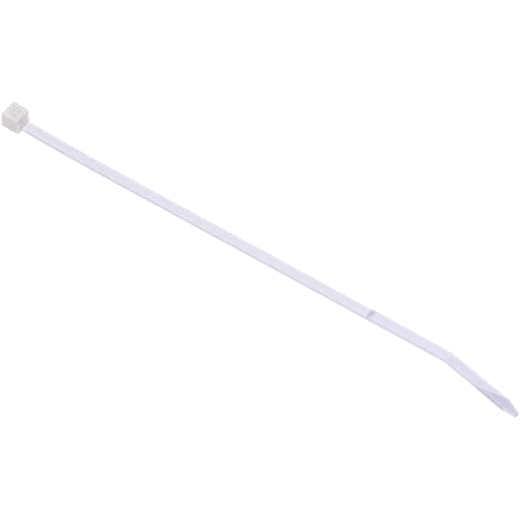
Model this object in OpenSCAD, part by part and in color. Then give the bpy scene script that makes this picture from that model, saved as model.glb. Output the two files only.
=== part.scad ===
// A self-locking cable tie, moulded in one piece: a head with a slot and a sprung pawl,
// a strap with ratchet teeth on its underside, and a bent tail with a turned tip.
// It lies with its smooth side up, on the underside of the head and on the tip.
// Shapes are drawn in the frame of the strap's straight middle: X runs along the tie,
// counted from the head's back, Y runs across it, and Z = 0 is the strap's underside.
// The head and the tail have frames of their own at the two ends of the middle. The
// end of the file turns the whole tie to the way it comes to rest.

/* [Strap] */
// Length from the back of the head to the tip, along the tie
tie_len = 139.3; // [138:0.1:141]
// Width of the strap
strap_w = 2.5; // [2.4:0.05:2.7]
// Thickness of the toothed stretch
strap_t = 1.0; // [0.9:0.05:1.1]
// Thickness of the plain stretch after the mark
tail_t = 1.2; // [1.15:0.05:1.3]
// Radius of the strap's long edges
edge_r = 0.12; // [0.05:0.01:0.2]
// Angle by which the strap bows up where it leaves the head
bow_angle = 3.09; // [2.7:0.01:3.09]
// Place where the bow ends, from the back of the head
bow_end = 29; // [15:1:60]

/* [Ratchet teeth] */
// Width of the recessed track that holds the teeth
track_w = 1.8; // [1.6:0.05:1.9]
// Depth of the track at the roots of the teeth
track_depth = 0.42; // [0.3:0.01:0.5]
// Distance from one tooth to the next
tooth_pitch = 0.8; // [0.7:0.05:1]
// Height by which the teeth stop short of the rails beside them
tooth_gap = 0.05; // [0.02:0.01:0.1]
// Length along the strap of a tooth's steep face
tooth_rake = 0.06; // [0.03:0.01:0.1]
// Plain stretch between the head and the track
lead_in = 3; // [2:0.5:6]
// Least plain stretch between the last tooth and the mark
lead_out = 1; // [0.5:0.5:3]

/* [Mark] */
// Place of the step where the teeth end, from the back of the head
mark_x = 99; // [90:1:105]
// Length of the step
mark_len = 1.1; // [0.8:0.1:1.5]

/* [Tail] */
// Place of the bend, from the back of the head
bend_x = 119.5; // [110:0.1:122]
// Angle by which the tail is bent down
bend_angle = 20.5; // [19.5:0.1:21]
// Radius of the bend at the underside
bend_r = 2; // [1:0.1:4]
// Number of grip grooves under the tail
groove_count = 9; // [3:1:9]
// Width of one grip groove
groove_w = 0.35; // [0.2:0.05:0.5]
// Depth of a grip groove
groove_depth = 0.2; // [0.1:0.05:0.3]
// Plain stretch before the first groove and after the last
groove_margin = 0.5; // [0.2:0.1:1.5]

/* [Tip] */
// Length of the taper at the tip
taper_len = 3.7; // [3:0.1:4.5]
// Radius of the rounded nose
nose_r = 0.5; // [0.3:0.05:0.7]
// Distance from the bend to the crease at the near edge
crease_near = 9.2; // [8.5:0.1:12]
// Distance from the bend to the crease at the far edge
crease_far = 16.4; // [14:0.1:16.8]
// Slope of the tip's top, past the crease
crease_angle = 12; // [5:0.5:14]
// Slope of the tip's underside, past the crease
under_angle = 4; // [2:0.5:5]

/* [Head] */
// Length of the head at its underside
head_len = 4.8; // [4.6:0.05:5.2]
// Length of the head at its top
head_top_len = 4.3; // [3.9:0.05:4.4]
// Width of the head
head_w = 4.75; // [4.4:0.05:5.1]
// Height of the head
head_h = 3.85; // [3.6:0.05:4.2]
// Drop of the head's underside below the strap's
head_drop = 0.5; // [0.4:0.05:0.7]
// Radius of the head's upright corners at its back
back_corner_r = 0.35; // [0.2:0.05:0.6]
// Radius of the head's upright corners on the strap's side
front_corner_r = 0.7; // [0.3:0.05:0.9]
// Radius of the head's top edges
top_r = 0.3; // [0.15:0.05:0.5]
// Radius of the head's bottom edges
base_r = 0.25; // [0.1:0.01:0.28]
// Radius of the hollow where the strap leaves the head
neck_r = 1.2; // [0.6:0.1:1.4]
// Radius of the hollow below the neck
under_neck_r = 0.2; // [0.1:0.05:0.2]

/* [Slot and pawl] */
// Wall between the head's back and the slot
back_wall = 0.85; // [0.8:0.05:0.95]
// Depth of the slot, across the strap's thickness
slot_t = 1.3; // [1.25:0.05:1.35]
// Width of the slot
slot_w = 2.8; // [2.75:0.05:3]
// Size of the chamfer round the slot's entry
entry_chamfer = 0.25; // [0.1:0.05:0.3]
// Depth of the open pocket behind the slot, where the pawl stands
pocket_t = 0.85; // [0.8:0.05:0.95]
// Height of the pocket's floor above the strap's underside
pocket_floor = 0.35; // [0.2:0.05:0.45]
// Gap between the pawl and the pocket's sides
pawl_side_gap = 0.2; // [0.12:0.02:0.24]
// Height of the pawl's lowest tooth above the pocket's floor
pawl_lead = 0.4; // [0.2:0.05:0.6]
// Gap between the pawl's top and the head's
pawl_sink = 0.1; // [0.05:0.05:0.3]
// Number of teeth on the pawl
pawl_teeth = 3; // [1:1:3]
// Height of the pawl's teeth
pawl_tooth_h = 0.33; // [0.2:0.01:0.4]
// Thickness of the pawl at its root
pawl_root_t = 0.47; // [0.4:0.01:0.55]
// Thickness of the pawl at its free end, behind the teeth
pawl_end_t = 0.6; // [0.5:0.05:0.65]
// Slope of the pawl into the slot, as a share of its height
pawl_lean = 0.1; // [0.04:0.01:0.14]

/* [Hidden] */
$fn = 48;
// The bow is a short stretch of a very large circle, which needs many more sides.
bow_fn = 3600;
// Joined shapes reach into each other, and cuts past a face, by this much.
overlap = 0.4;
head_top = head_h - head_drop;
mark_start = mark_x - mark_len / 2;
mark_end = mark_x + mark_len / 2;

// The teeth fill the track from a little after the neck to a little before the mark.
track_start = head_len + lead_in;
tooth_count = floor((mark_start - lead_out - track_start) / tooth_pitch) - 1;

// Rounds to a hundredth, so that stretches of the strap meet exactly face to face.
function tidy(v) = round(v * 100) / 100;

// The bow is an arc above the strap, from the head's front to the end of the bow.
bow_r = tidy((bow_end - head_len) / bow_angle * 180 / PI);

// The arc of the bend starts and ends this far from the corner of its two top faces.
bend_reach = tidy((bend_r + tail_t) * tan(bend_angle / 2));
tail_start = bend_x - bend_reach;
tail_run = tie_len - bend_x - bend_reach;

// Ends of the crease on the tail's top, in the tail's frame, and its heading.
crease_a = [crease_near - bend_reach, -strap_w / 2, tail_t];
crease_b = [crease_far - bend_reach, strap_w / 2, tail_t];
crease_heading = atan2(crease_b.y - crease_a.y, crease_b.x - crease_a.x);

// The taper's straight sides are tangents from the shoulders to the nose.
nose_x = tail_run - nose_r;
shoulder = [tail_run - taper_len, strap_w / 2];
shoulder_dist = norm(shoulder - [nose_x, 0]);
taper_angle = 180 - asin(nose_r / shoulder_dist) - atan2(shoulder.y, shoulder.x - nose_x);

// Lean of the head's front face, and the face's place at the height z.
front_lean = atan2(head_len - head_top_len, head_h);
function front_x(z) = head_len - (z + head_drop) * tan(front_lean);

// The strap's root starts inside the head's front wall.
strap_start = (back_wall + slot_t + pocket_t + front_x(strap_t)) / 2;

// The pawl stands on the front side of the slot.
pawl_x = back_wall + slot_t;
pawl_foot = pocket_floor + pawl_lead;
pawl_pitch = (head_top - pawl_sink - pawl_foot) / pawl_teeth;
pawl_top = pawl_foot + pawl_teeth * pawl_pitch;

// Drop of the tip at x, y in the tail's frame, where it slopes by an angle past the
// crease. tip_point carries a point of the tip to the middle's frame.
function tip_drop(x, y, slope) =
    ((x - crease_a.x) * sin(crease_heading) - (y - crease_a.y) * cos(crease_heading)) * tan(slope);
function turn_y(v, a) = [v.x * cos(a) + v.z * sin(a), v.y, v.z * cos(a) - v.x * sin(a)];
function tip_point(x, y, z, slope) =
    [tail_start, 0, -bend_r] + turn_y([x, y, z - tip_drop(x, y, slope) + bend_r], bend_angle);

// The point of the nose's round that lies farthest towards v.
function nose_point(v) = [nose_x, 0] + v * nose_r / norm(v);

// Lowest point of the nose.
downhill = [
    tan(bend_angle) + tan(under_angle) * sin(crease_heading),
    -tan(under_angle) * cos(crease_heading)
];
nose_foot = nose_point(downhill);
tip_low = tip_point(nose_foot.x, nose_foot.y, 0, under_angle);

// Carries a point of the head's frame to the middle's.
function head_point(x, z) = [bow_end, 0, bow_r] + turn_y([x - head_len, 0, z - bow_r], bow_angle);

// The tie comes to rest on the rounded back edge of the head and on the nose.
rest_edge = head_point(base_r, base_r - head_drop);
rest_span = tip_low - rest_edge;
rest_pitch = -atan2(rest_span.z, rest_span.x) - asin(base_r / norm([rest_span.x, rest_span.z]));
function at_rest(p) = turn_y(p, -rest_pitch);
floor_z = at_rest(rest_edge).z - base_r;

// The front of the nose's upper edge, as the tie lies.
tail_pitch = bend_angle - rest_pitch;
forward = [
    cos(tail_pitch) - tan(crease_angle) * sin(crease_heading) * sin(tail_pitch),
    tan(crease_angle) * cos(crease_heading) * sin(tail_pitch)
];
nose_front = nose_point(forward);
tip_front = tip_point(nose_front.x, nose_front.y, tail_t, crease_angle);
back_x = at_rest(head_point(top_r, head_top - top_r)).x - top_r;
middle_x = (back_x + at_rest(tip_front).x) / 2;

function unit(v) = v / norm(v);
function half_corner(a, b, c) = acos(unit(a - b) * unit(c - b)) / 2;
function corner_reach(a, b, c, r) = r / tan(half_corner(a, b, c));
function corner_centre(a, b, c, r) =
    b + unit(unit(a - b) + unit(c - b)) * r / sin(half_corner(a, b, c));

// A convex outline with every corner rounded to its own radius.
module rounded_outline(points, radii) {
    n = len(points);
    polygon([
        for (i = [0 : n - 1])
            let (a = points[(i + n - 1) % n], b = points[i], c = points[(i + 1) % n])
            let (reach = corner_reach(a, b, c, radii[i]))
            each [b + unit(a - b) * reach, b + unit(c - b) * reach]
    ]);
    for (i = [0 : n - 1])
        translate(corner_centre(points[(i + n - 1) % n], points[i], points[(i + 1) % n], radii[i]))
            circle(radii[i]);
}

// The hollow fillet in the corner b between the directions of a and c. It reaches
// into both solids by the vectors into_a and into_c.
module hollow_fillet(a, b, c, r, into_a, into_c) {
    reach = corner_reach(a, b, c, r);
    end_a = b + unit(a - b) * reach;
    end_c = b + unit(c - b) * reach;
    centre = corner_centre(a, b, c, r);
    difference() {
        polygon([b + into_a + into_c, end_a + into_a, end_a, centre, end_c, end_c + into_c]);
        translate(centre) circle(r);
    }
}

// Draws an outline in X and Z across the tie's width.
module across(w) {
    rotate([90, 0, 0]) linear_extrude(w, center = true) children();
}

// Draws an outline in Y and Z along the tie from x0 to x1.
module along(x0, x1) {
    translate([x0, 0, 0]) rotate([90, 0, 90]) linear_extrude(x1 - x0) children();
}

module strap_section(t) {
    half = strap_w / 2;
    rounded_outline([[-half, 0], [half, 0], [half, t], [-half, t]], [edge_r, edge_r, edge_r, edge_r]);
}

// The bow, an arc about an axis above the strap. It ends inside the head's front wall.
module bow() {
    into_head = (head_len - strap_start) / bow_r * 180 / PI;
    translate([bow_end, 0, bow_r])
        rotate([-90, 90, 0])
            rotate_extrude(angle = bow_angle + into_head, $fn = bow_fn)
                translate([bow_r, 0]) rotate(90) strap_section(strap_t);
}

module toothed_stretch() {
    difference() {
        union() {
            bow();
            along(bow_end, mark_start + overlap / 2) strap_section(strap_t);
        }
        across(track_w) teeth_below();
    }
}

// A point at x along the strap and z above its underside, carried round the bow.
function bowed(x, z) =
    let (a = (bow_end - x) / bow_r * 180 / PI)
    x > bow_end ? [x, z] : [bow_end - (bow_r - z) * sin(a), bow_r - (bow_r - z) * cos(a)];

// Everything below the saw profile: each tooth is steep towards the head and
// slopes away towards the tail, so the strap slides on through but not back.
module teeth_below() {
    first = track_start + tooth_pitch;
    last = first + tooth_count * tooth_pitch;
    polygon([
        bowed(track_start, -1),
        bowed(track_start, track_depth),
        bowed(first - tooth_rake, track_depth),
        for (i = [0 : tooth_count - 1])
            let (x = first + i * tooth_pitch)
            each [bowed(x, tooth_gap), bowed(x + tooth_pitch - tooth_rake, track_depth)],
        [last, -1],
        [bow_end, -1]
    ]);
}

// The step up from the toothed stretch to the thicker plain one.
module mark_step() {
    intersection() {
        across(strap_w + 1) polygon([
            [mark_start, -1],
            [mark_start, strap_t],
            [mark_end, tail_t],
            [mark_end + 1, tail_t + 1],
            [mark_end + 1, -1]
        ]);
        along(mark_start, mark_end + overlap) strap_section(tail_t);
    }
}

module plain_stretch() {
    along(mark_end, tail_start) strap_section(tail_t);
}

// A core inside the strap, above the track, across a face at x where two stretches
// meet, so that they always join.
module core(x) {
    floor_t = strap_t - track_depth;
    along(x - overlap, x + overlap) translate([0, track_depth + floor_t / 2])
        square([strap_w / 2, floor_t / 3], center = true);
}

// The bend, an arc about an axis below the strap.
module bend() {
    translate([tail_start, 0, -bend_r])
        rotate([-90, -90, 0])
            rotate_extrude(angle = bend_angle)
                translate([bend_r, 0]) rotate(-90) strap_section(tail_t);
}

// Places what is drawn in the head's frame at the start of the bow.
module on_head() {
    translate([bow_end, 0, bow_r]) rotate([0, bow_angle, 0]) translate([-head_len, 0, -bow_r]) children();
}

// Places what is drawn in the tail's frame at the end of the bend.
module on_tail() {
    translate([tail_start, 0, -bend_r]) rotate([0, bend_angle, 0]) translate([0, 0, bend_r]) children();
}

module tip_outline() {
    touch = [nose_x, 0] + nose_r * [sin(taper_angle), cos(taper_angle)];
    polygon([
        [0, -shoulder.y],
        [shoulder.x, -shoulder.y],
        [touch.x, -touch.y],
        touch,
        shoulder,
        [0, shoulder.y]
    ]);
    translate([nose_x, 0]) circle(nose_r);
}

// A block on one side of the crease: side = 1 is towards the bend.
module crease_side(side) {
    size = 2 * tail_run;
    translate(crease_a) rotate(crease_heading)
        translate([-size / 2, side > 0 ? 0 : -size, -size / 2]) cube(size);
}

// The flat part of the tail, up to the crease.
module tail_flat() {
    difference() {
        intersection() {
            along(0, tail_run) strap_section(tail_t);
            crease_side(1);
        }
        grip_grooves();
    }
}

// The tip beyond the crease: both its faces slope down from there, the top more than
// the underside, so it thins towards the nose. Its sides stay flush with the tail's.
module turned_tip() {
    size = 2 * tail_run;
    under = [crease_a.x, crease_a.y, 0];
    intersection() {
        translate([0, 0, -tail_t]) linear_extrude(3 * tail_t) tip_outline();
        crease_side(-1);
        translate(crease_a) rotate(crease_heading) rotate([crease_angle, 0, 0])
            translate([-size / 2, -size, -size]) cube([size, 2 * size, size]);
        translate(under) rotate(crease_heading) rotate([under_angle, 0, 0])
            translate([-size / 2, -size, 0]) cube([size, 2 * size, size]);
    }
}

module tail() {
    on_tail() {
        core(0);
        tail_flat();
        turned_tip();
    }
}

module grip_grooves() {
    first = groove_margin;
    last = crease_a.x - groove_margin - groove_w;
    pitch = (last - first) / (groove_count - 1);
    for (x = [first : pitch : last + pitch / 2])
        translate([x, -track_w / 2, -1]) cube([groove_w, track_w, 1 + groove_depth]);
}

// The head's block: its front face leans back towards the top.
module head_block() {
    size = 3 * head_len;
    side = head_w / 2;
    intersection() {
        across(head_w) rounded_outline(
            [[0, -head_drop], [head_len, -head_drop], [head_top_len, head_top], [0, head_top]],
            [base_r, base_r, top_r, top_r]
        );
        along(-1, head_len + 1) rounded_outline(
            [[-side, -head_drop], [side, -head_drop], [side, head_top], [-side, head_top]],
            [base_r, base_r, top_r, top_r]
        );
        translate([0, 0, -head_h]) linear_extrude(3 * head_h) rounded_outline(
            [[0, -side], [size, -side], [size, side], [0, side]],
            [back_corner_r, front_corner_r, front_corner_r, back_corner_r]
        );
        translate([head_len, 0, -head_drop]) rotate([0, -front_lean, 0])
            translate([0, 0, -size / 2]) linear_extrude(size) rounded_outline(
                [[-size, -side], [0, -side], [0, side], [-size, side]],
                [back_corner_r, front_corner_r, front_corner_r, back_corner_r]
            );
    }
}

// The hollows above and below the strap's root, between its rounded edges.
module neck() {
    along_strap = [head_len + neck_r, 0];
    across(strap_w - 2 * edge_r) {
        hollow_fillet(
            [front_x(head_top), head_top], [front_x(strap_t), strap_t], along_strap + [0, strap_t],
            neck_r, [-overlap, 0], [0, -overlap]
        );
        hollow_fillet(
            [front_x(-head_drop), -head_drop], [front_x(0), 0], along_strap,
            under_neck_r, [-overlap, 0], [0, overlap]
        );
    }
}

// The slot for the strap's end, with a chamfered entry below.
module slot() {
    reach = entry_chamfer + overlap;
    translate([back_wall, -slot_w / 2, -head_drop - 1]) cube([slot_t, slot_w, head_h + 2]);
    translate([0, 0, -head_drop]) intersection() {
        across(head_w) polygon([
            [back_wall - reach, -overlap],
            [back_wall + slot_t + reach, -overlap],
            [back_wall + slot_t, entry_chamfer],
            [back_wall, entry_chamfer]
        ]);
        along(0, head_len) polygon([
            [-slot_w / 2 - reach, -overlap],
            [slot_w / 2 + reach, -overlap],
            [slot_w / 2, entry_chamfer],
            [-slot_w / 2, entry_chamfer]
        ]);
    }
}

// The pocket behind the slot, open at the top, in which the pawl can swing back.
module pawl_pocket() {
    translate([pawl_x - overlap, -track_w / 2 - pawl_side_gap / 2, pocket_floor])
        cube([pocket_t + overlap, track_w + pawl_side_gap, head_h]);
}

// The pawl: a tongue rooted near the slot's entry, with teeth that slope outwards
// as they rise and are square on top, so that they catch the strap's teeth.
module pawl() {
    across(track_w - pawl_side_gap) polygon([
        [pawl_x + overlap / 2, 0],
        [pawl_x, 0],
        for (i = [0 : pawl_teeth - 1])
            let (z = pawl_foot + i * pawl_pitch)
            let (x = pawl_x - pawl_lean * (z - pawl_foot))
            each [[x, z], [x - pawl_tooth_h, z + pawl_pitch - tooth_rake]],
        [pawl_x - pawl_lean * (pawl_top - pawl_foot), pawl_top],
        [pawl_x - pawl_lean * (pawl_top - pawl_foot) + pawl_end_t, pawl_top],
        [pawl_x + pawl_root_t, pawl_foot],
        [pawl_x + pawl_root_t, 0]
    ]);
}

module head() {
    difference() {
        head_block();
        slot();
        pawl_pocket();
    }
    pawl();
}

module cable_tie() {
    color([0.9, 0.89, 0.93])
        translate([-middle_x, 0, -floor_z]) rotate([0, -rest_pitch, 0]) {
            on_head() {
                head();
                neck();
            }
            toothed_stretch();
            mark_step();
            plain_stretch();
            bend();
            tail();
            for (x = [bow_end, tail_start]) core(x);
        }
}

cable_tie();
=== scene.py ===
import math

import bmesh
import bpy
from mathutils import Matrix, Vector


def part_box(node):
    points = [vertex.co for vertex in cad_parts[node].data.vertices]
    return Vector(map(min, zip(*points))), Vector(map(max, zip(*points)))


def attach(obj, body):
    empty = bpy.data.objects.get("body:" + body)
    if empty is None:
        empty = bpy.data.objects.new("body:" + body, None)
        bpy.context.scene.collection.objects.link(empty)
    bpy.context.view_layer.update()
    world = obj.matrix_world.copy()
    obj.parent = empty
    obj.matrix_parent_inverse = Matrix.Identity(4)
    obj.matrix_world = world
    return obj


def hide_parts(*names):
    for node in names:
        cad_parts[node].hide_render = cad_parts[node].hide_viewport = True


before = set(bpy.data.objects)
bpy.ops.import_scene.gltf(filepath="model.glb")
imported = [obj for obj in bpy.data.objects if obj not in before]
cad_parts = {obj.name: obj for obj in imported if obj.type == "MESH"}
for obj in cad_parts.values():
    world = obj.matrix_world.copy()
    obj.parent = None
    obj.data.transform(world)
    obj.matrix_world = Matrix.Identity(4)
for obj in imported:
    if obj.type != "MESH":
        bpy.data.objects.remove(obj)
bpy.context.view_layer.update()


class Wire:
    # a node socket that can be added, subtracted and multiplied
    def __init__(self, graph, socket):
        self.graph = graph
        self.socket = socket

    def maths(self, operation, first, second):
        return self.graph.node("ShaderNodeMath", {"operation": operation}, {0: first, 1: second})

    def __add__(self, other):
        return self.maths("ADD", self, other)

    def __sub__(self, other):
        return self.maths("SUBTRACT", self, other)

    def __rsub__(self, other):
        return self.maths("SUBTRACT", other, self)

    def __mul__(self, other):
        return self.maths("MULTIPLY", self, other)

    __radd__ = __add__
    __rmul__ = __mul__


class Graph:
    # the node tree of one material or of the world
    def __init__(self, tree):
        self.tree = tree
        tree.nodes.clear()

    def node(self, kind, settings=None, values=None, output=0):
        # settings are set first, and values are numbers or wires for its sockets
        made = self.tree.nodes.new(kind)
        for name, value in (settings or {}).items():
            setattr(made, name, value)
        for name, value in (values or {}).items():
            if isinstance(value, Wire):
                self.tree.links.new(value.socket, made.inputs[name])
            else:
                made.inputs[name].default_value = value
        return Wire(self, made.outputs[output]) if made.outputs else made

    def step(self, value, start, end):
        # 0 before start, 1 after end, smooth between them
        return self.node("ShaderNodeMapRange", {"interpolation_type": "SMOOTHSTEP"}, {
            "Value": value, "From Min": start, "From Max": end})


def newMaterial(name):
    material = bpy.data.materials.new(name)
    material.use_nodes = True
    return material, Graph(material.node_tree)


nylonValues = {
    "strapColor": (0.658, 0.633, 0.786, 1),
    # the head is greyer than the strap, and darker as painted shade
    "shadedHeadColor": (0.628, 0.604, 0.622, 1),
    "headEnd": (-0.0644, -0.0616),   # one colour fades into the other here
    "roughness": 0.20,
    "roughnessSpread": 0.05,
    "stretch": (0.12, 1, 1),         # draws flow and waves out along the strap
    "flowScale": 140,                # slow changes of shade, as the melt flowed
    "flowDetail": 3.0,
    "flowRoughness": 0.55,
    "flowShade": 0.025,
    "waveScale": 420,
    "waveDepth": 0.000006,
    "grainScale": 5200,
    "grainDepth": 0.0000012,
    "bumpDetail": 2.0,
    "ior": 1.53,
    "glow": 1.0,                     # how much of the light goes through the skin,
    "glowDepth": 0.003,              # how far in metres,
    "glowTint": (1.0, 0.96, 0.98),   # and how far red, green and blue go in relation
    # each pair below is where a soft edge starts and where it is full, in metres
    "rim": (0.00108, 0.00120),       # the strap's rims, from its middle line
    "farSide": (0.0, 0.0003),
    "thin": (0.0582, 0.0602),        # the tail gets thin, and shade is painted on its rims
    "taper": 0.0655,                 # the outline tapers from here,
    "taperSlope": 0.25,              # and the far rim comes in with it
    "nose": (0.0684, 0.0688),
    "rimShade": 0.26,
    "markStart": (0.0292, 0.0294),   # painted shade on the step in the strap's top,
    "markEnd": (0.0308, 0.0310),
    "markShade": 0.07,
    "markRimShade": 0.05,            # more so at its ends
    "slotMiddle": -0.06700,          # a painted glow in the head's slot
    "slotLength": (0.00122, 0.00132),
    "slotWidth": (0.00150, 0.00160),
    "slotTop": (0.00350, 0.00380),
    "slotBack": (-0.06770, -0.06670),
    "slotLight": 0.36,               # strength of the painted glow, full on the slot's back wall
    "pawlLight": 0.85,               # the pawl's share of that
    "rootStart": (-0.065, -0.0646),  # a painted glow on the head's front face, where the strap grows from it
    "rootEnd": (-0.0637, -0.0629),
    "rootWidth": (0.0020, 0.0026),
    "rootTop": (0.0023, 0.0043),
    "rootLight": 0.50,               # that face's share
}


def makeShade(g, flow, along, across, aside):
    # the melt's flow, and painted shade on the rims and nose of the thin tail and on the step at the
    # mark
    v = nylonValues
    onTaper = g.node("ShaderNodeMath", {"operation": "MAXIMUM"}, {0: along - v["taper"], 1: 0.0})
    farSide = g.step(across, *v["farSide"])
    rim = g.step(aside + onTaper * farSide * v["taperSlope"], *v["rim"])
    thin = g.step(along, *v["thin"])
    nose = g.step(along, *v["nose"])
    # painted shade on the thin tail's rims and on its nose
    dark = g.node("ShaderNodeMath", {"operation": "MAXIMUM"}, {0: rim * thin, 1: nose})
    # painted shade on the step at the mark
    onMark = g.step(along, *v["markStart"]) * (1 - g.step(along, *v["markEnd"]))
    flowShade = 1 + (flow - 0.5) * (2 * v["flowShade"])
    markShade = 1 - onMark * (v["markShade"] + rim * v["markRimShade"])
    return flowShade * (1 - dark * v["rimShade"]) * markShade


def makePaintedGlow(g, along, aside, upward):
    # where a glow is painted on: the slot's walls, the pawl and the face that the strap grows from
    v = nylonValues
    fromMiddle = g.node("ShaderNodeMath", {"operation": "ABSOLUTE"}, {0: along - v["slotMiddle"]})
    inLength = 1 - g.step(fromMiddle, *v["slotLength"])
    inWidth = 1 - g.step(aside, *v["slotWidth"])
    inSlot = inLength * inWidth * (1 - g.step(upward, *v["slotTop"]))
    atBack = 1 - g.step(along, *v["slotBack"])
    onFace = g.step(along, *v["rootStart"]) * (1 - g.step(along, *v["rootEnd"]))
    atRoot = onFace * (1 - g.step(aside, *v["rootWidth"])) * (1 - g.step(upward, *v["rootTop"]))
    return inSlot * (v["pawlLight"] + atBack * (1 - v["pawlLight"])) + atRoot * v["rootLight"]


def makeNylon():
    v = nylonValues
    material, g = newMaterial("natural nylon")
    place = g.node("ShaderNodeTexCoord", output="Object")
    along = g.node("ShaderNodeSeparateXYZ", {}, {0: place}, output="X")
    across = g.node("ShaderNodeSeparateXYZ", {}, {0: place}, output="Y")
    upward = g.node("ShaderNodeSeparateXYZ", {}, {0: place}, output="Z")
    aside = g.node("ShaderNodeMath", {"operation": "ABSOLUTE"}, {0: across})
    drawnOut = g.node("ShaderNodeMapping", {}, {0: place, "Scale": v["stretch"]})
    flow = g.node("ShaderNodeTexNoise", {}, {
        "Vector": drawnOut, "Scale": v["flowScale"], "Detail": v["flowDetail"],
        "Roughness": v["flowRoughness"]})
    wave = g.node("ShaderNodeTexNoise", {}, {
        "Vector": drawnOut, "Scale": v["waveScale"], "Detail": v["bumpDetail"]})
    grain = g.node("ShaderNodeTexNoise", {}, {
        "Vector": place, "Scale": v["grainScale"], "Detail": v["bumpDetail"]})

    plain = g.node("ShaderNodeMix", {"data_type": "RGBA"}, {
        0: 1 - g.step(along, *v["headEnd"]), 6: v["strapColor"], 7: v["shadedHeadColor"]}, output=2)
    # the colour, times the melt's flow and the painted shade
    colorWithPaintedShade = g.node("ShaderNodeVectorMath", {"operation": "SCALE"}, {
        0: plain, "Scale": makeShade(g, flow, along, across, aside)})
    paintedGlow = g.node("ShaderNodeMix", {"data_type": "RGBA"}, {
        0: makePaintedGlow(g, along, aside, upward), 6: (0, 0, 0, 1), 7: v["shadedHeadColor"]}, output=2)

    height = wave * v["waveDepth"] + grain * v["grainDepth"]
    bump = g.node("ShaderNodeBump", {}, {"Height": height, "Strength": 1.0, "Distance": 1.0})
    shader = g.node("ShaderNodeBsdfPrincipled", {}, {
        "Base Color": colorWithPaintedShade,
        "Roughness": v["roughness"] + (flow - 0.5) * (2 * v["roughnessSpread"]),
        "IOR": v["ior"],
        "Subsurface Weight": v["glow"],
        "Subsurface Radius": v["glowTint"],
        "Subsurface Scale": v["glowDepth"],
        # the painted glow on the slot's walls, the pawl and the head's front face
        "Emission Color": paintedGlow,
        "Emission Strength": v["slotLight"],
        "Normal": bump,
    })
    g.node("ShaderNodeOutputMaterial", {}, {"Surface": shader})
    print("nylon made")
    return material


tieValues = {
    "mergeDistance": 0.0000005,
    "flatAngle": 0.05,       # triangles that lie flatter than this become one face
    "crispAngle": 28,        # edges that turn by more than this stay crisp
    "creaseAngle": 2,        # and so do smaller turns between two broad faces
    "broadWidth": 0.00045,   # of a broad face: its area over half the length of its rim
}


def makeTie(material):
    v = tieValues
    skin = bmesh.new()
    skin.from_mesh(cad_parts["cable_tie"].data)
    bmesh.ops.remove_doubles(skin, verts=skin.verts, dist=v["mergeDistance"])
    bmesh.ops.dissolve_limit(skin, angle_limit=math.radians(v["flatAngle"]),
                             verts=skin.verts, edges=skin.edges)
    crisp, crease = math.radians(v["crispAngle"]), math.radians(v["creaseAngle"])
    for face in skin.faces:
        face.smooth = True
        face.material_index = 0
    for edge in skin.edges:
        turn = edge.calc_face_angle(0)
        widths = [2 * face.calc_area() / face.calc_perimeter() for face in edge.link_faces]
        broad = min(widths, default=0) > v["broadWidth"]
        edge.smooth = edge.is_manifold and turn < (crease if broad else crisp)
    mesh = bpy.data.meshes.new("tie")
    skin.to_mesh(mesh)
    skin.free()
    tie = bpy.data.objects.new("tie", mesh)
    bpy.context.scene.collection.objects.link(tie)
    mesh.materials.append(material)
    weigh = tie.modifiers.new("weigh", "WEIGHTED_NORMAL")
    weigh.mode = "FACE_AREA_WITH_ANGLE"
    weigh.keep_sharp = True
    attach(tie, "root")
    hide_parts("cable_tie")
    print("tie made,", len(mesh.polygons), "faces")
    return tie


floorValues = {
    "size": 12.0,
    "seenPaint": 0.12,       # what is seen is partly paint, which takes the shadow,
    "seenGlow": 0.935,       # and partly a white glow
    "paint": 0.60,           # the tie gets the light that the floor throws back,
    "glow": 0.36,            # and the floor's own, as from a light table
}


def whenSeen(g):
    # 1 for what the camera, a reflection or a look through something meets
    camera = g.node("ShaderNodeLightPath", output="Is Camera Ray")
    mirror = g.node("ShaderNodeLightPath", output="Is Glossy Ray")
    through = g.node("ShaderNodeLightPath", output="Is Transmission Ray")
    return g.node("ShaderNodeMath", {"operation": "ADD", "use_clamp": True}, {
        0: camera + mirror, 1: through})


def glowingPaint(g, shade, strength):
    paint = g.node("ShaderNodeBsdfDiffuse", {}, {"Color": (shade, shade, shade, 1)})
    glow = g.node("ShaderNodeEmission", {}, {"Color": (1, 1, 1, 1), "Strength": strength})
    return g.node("ShaderNodeAddShader", {}, {0: paint, 1: glow})


def makeFloor():
    v = floorValues
    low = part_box("cable_tie")[0].z
    sheet = bmesh.new()
    bmesh.ops.create_grid(sheet, x_segments=1, y_segments=1, size=v["size"] / 2)
    bmesh.ops.translate(sheet, verts=sheet.verts, vec=(0, 0, low))
    mesh = bpy.data.meshes.new("floor")
    sheet.to_mesh(mesh)
    sheet.free()
    floor = bpy.data.objects.new("floor", mesh)
    bpy.context.scene.collection.objects.link(floor)
    material, g = newMaterial("white floor")
    material.cycles.emission_sampling = "NONE"   # rays find so wide a glow by themselves
    table = glowingPaint(g, v["paint"], v["glow"])
    seen = glowingPaint(g, v["seenPaint"], v["seenGlow"])
    both = g.node("ShaderNodeMixShader", {}, {0: whenSeen(g), 1: table, 2: seen})
    g.node("ShaderNodeOutputMaterial", {}, {"Surface": both})
    mesh.materials.append(material)
    print("floor made")


lightValues = {
    "sky": 0.05,             # plain light from above,
    "horizon": 0.44,         # and what is added towards the horizon
    "glows": {               # a broad soft glow for each of the two upright sides
        "side": {"azimuth": -119.0, "elevation": 18.0, "inner": 8.0, "outer": 55.0, "strength": 1.39},
        "front": {"azimuth": 12.0, "elevation": 18.0, "inner": 8.0, "outer": 55.0, "strength": 1.10}},
    "mirrorBox": {           # the softbox that the upper faces reflect
        "azimuth": 106.2, "elevation": 57.3, "distance": 1.2, "width": 1.10, "height": 0.28,
        "radiance": 4.50, "along": (1, 0, 0)},
}


def direction(azimuth, elevation):
    # degrees round the tie, from its tip, and above the floor
    a, e = math.radians(azimuth), math.radians(elevation)
    return Vector((math.cos(e) * math.cos(a), math.cos(e) * math.sin(a), math.sin(e)))


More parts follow.
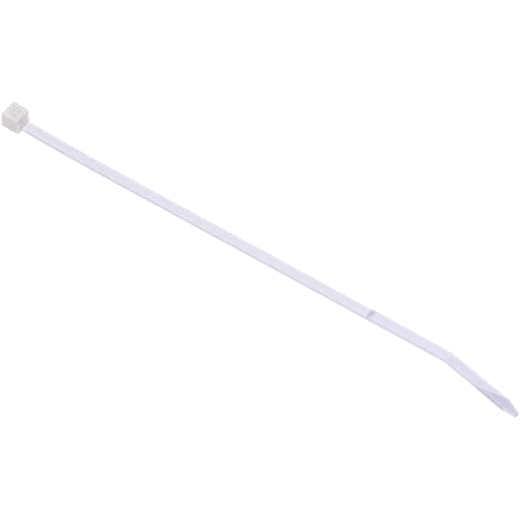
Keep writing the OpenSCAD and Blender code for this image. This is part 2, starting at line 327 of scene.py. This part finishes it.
def makeSky():
    v = lightValues
    world = bpy.data.worlds.new("studio")
    world.use_nodes = True
    bpy.context.scene.world = world
    g = Graph(world.node_tree)
    sight = g.node("ShaderNodeTexCoord", output="Object")
    height = g.node("ShaderNodeSeparateXYZ", {}, {0: sight}, output="Z")
    level = 1 - g.node("ShaderNodeMath", {"operation": "ABSOLUTE"}, {0: height})
    strength = v["sky"] + level * v["horizon"]
    for glow in v["glows"].values():
        middle = direction(glow["azimuth"], glow["elevation"])
        near = g.node("ShaderNodeVectorMath", {"operation": "DOT_PRODUCT"}, {
            0: sight, 1: middle}, output="Value")
        edge = math.cos(math.radians(glow["outer"]))
        core = math.cos(math.radians(glow["inner"]))
        strength = strength + g.step(near, edge, core) * glow["strength"]
    plain = g.node("ShaderNodeBackground", {}, {"Color": (1, 1, 1, 1), "Strength": strength})
    white = g.node("ShaderNodeBackground", {}, {"Color": (1, 1, 1, 1), "Strength": 1.0})
    both = g.node("ShaderNodeMixShader", {}, {0: whenSeen(g), 1: plain, 2: white})
    g.node("ShaderNodeOutputWorld", {}, {"Surface": both})
    print("sky made")


def makeMirrorBox():
    v = lightValues["mirrorBox"]
    lamp = bpy.data.lights.new("mirrorBox", "AREA")
    lamp.shape = "RECTANGLE"
    lamp.size = v["width"]
    lamp.size_y = v["height"]
    lamp.energy = v["radiance"] * math.pi * v["width"] * v["height"]
    softbox = bpy.data.objects.new("mirrorBox", lamp)
    bpy.context.scene.collection.objects.link(softbox)
    towards = direction(v["azimuth"], v["elevation"])
    along = Vector(v["along"])
    along = (along - towards * along.dot(towards)).normalized()
    turn = Matrix((along, towards.cross(along), towards)).transposed()
    softbox.matrix_world = Matrix.Translation(towards * v["distance"]) @ turn.to_4x4()
    print("mirror box made")


cameraValues = {
    "azimuth": -53.840,
    "elevation": 52.260,
    "distance": 2.0898,
    "roll": 0.300,
    "focalPixels": 9612,
    "imagePixels": 520,
    "sensor": 36,
    "target": (0.000289, 0, 0.003),
    "aside": (-0.817, -1.802),   # how far the picture's middle lies from the target, in pixels
    "clip": (0.1, 50),
}


def makeCamera():
    v = cameraValues
    back = direction(v["azimuth"], v["elevation"])
    target = Vector(v["target"])
    place = target + back * v["distance"]
    right = Vector((0, 0, 1)).cross(back).normalized()
    up = back.cross(right)
    roll = math.radians(v["roll"])
    rolledRight = right * math.cos(roll) + up * math.sin(roll)
    rolledUp = up * math.cos(roll) - right * math.sin(roll)
    perPixel = v["distance"] / v["focalPixels"]
    middle = target + rolledRight * (v["aside"][0] * perPixel) + rolledUp * (v["aside"][1] * perPixel)
    newBack = (place - middle).normalized()
    newRight = rolledUp.cross(newBack).normalized()
    newUp = newBack.cross(newRight)
    lens = bpy.data.cameras.new("camera")
    lens.sensor_width = v["sensor"]
    lens.lens = v["focalPixels"] * v["sensor"] / v["imagePixels"]
    lens.clip_start, lens.clip_end = v["clip"]
    camera = bpy.data.objects.new("camera", lens)
    bpy.context.scene.collection.objects.link(camera)
    turn = Matrix((newRight, newUp, newBack)).transposed()
    camera.matrix_world = Matrix.Translation(place) @ turn.to_4x4()
    bpy.context.scene.camera = camera
    print("camera made")


bpy.context.scene.view_settings.view_transform = "Standard"
makeTie(makeNylon())
makeFloor()
makeSky()
makeMirrorBox()
makeCamera()
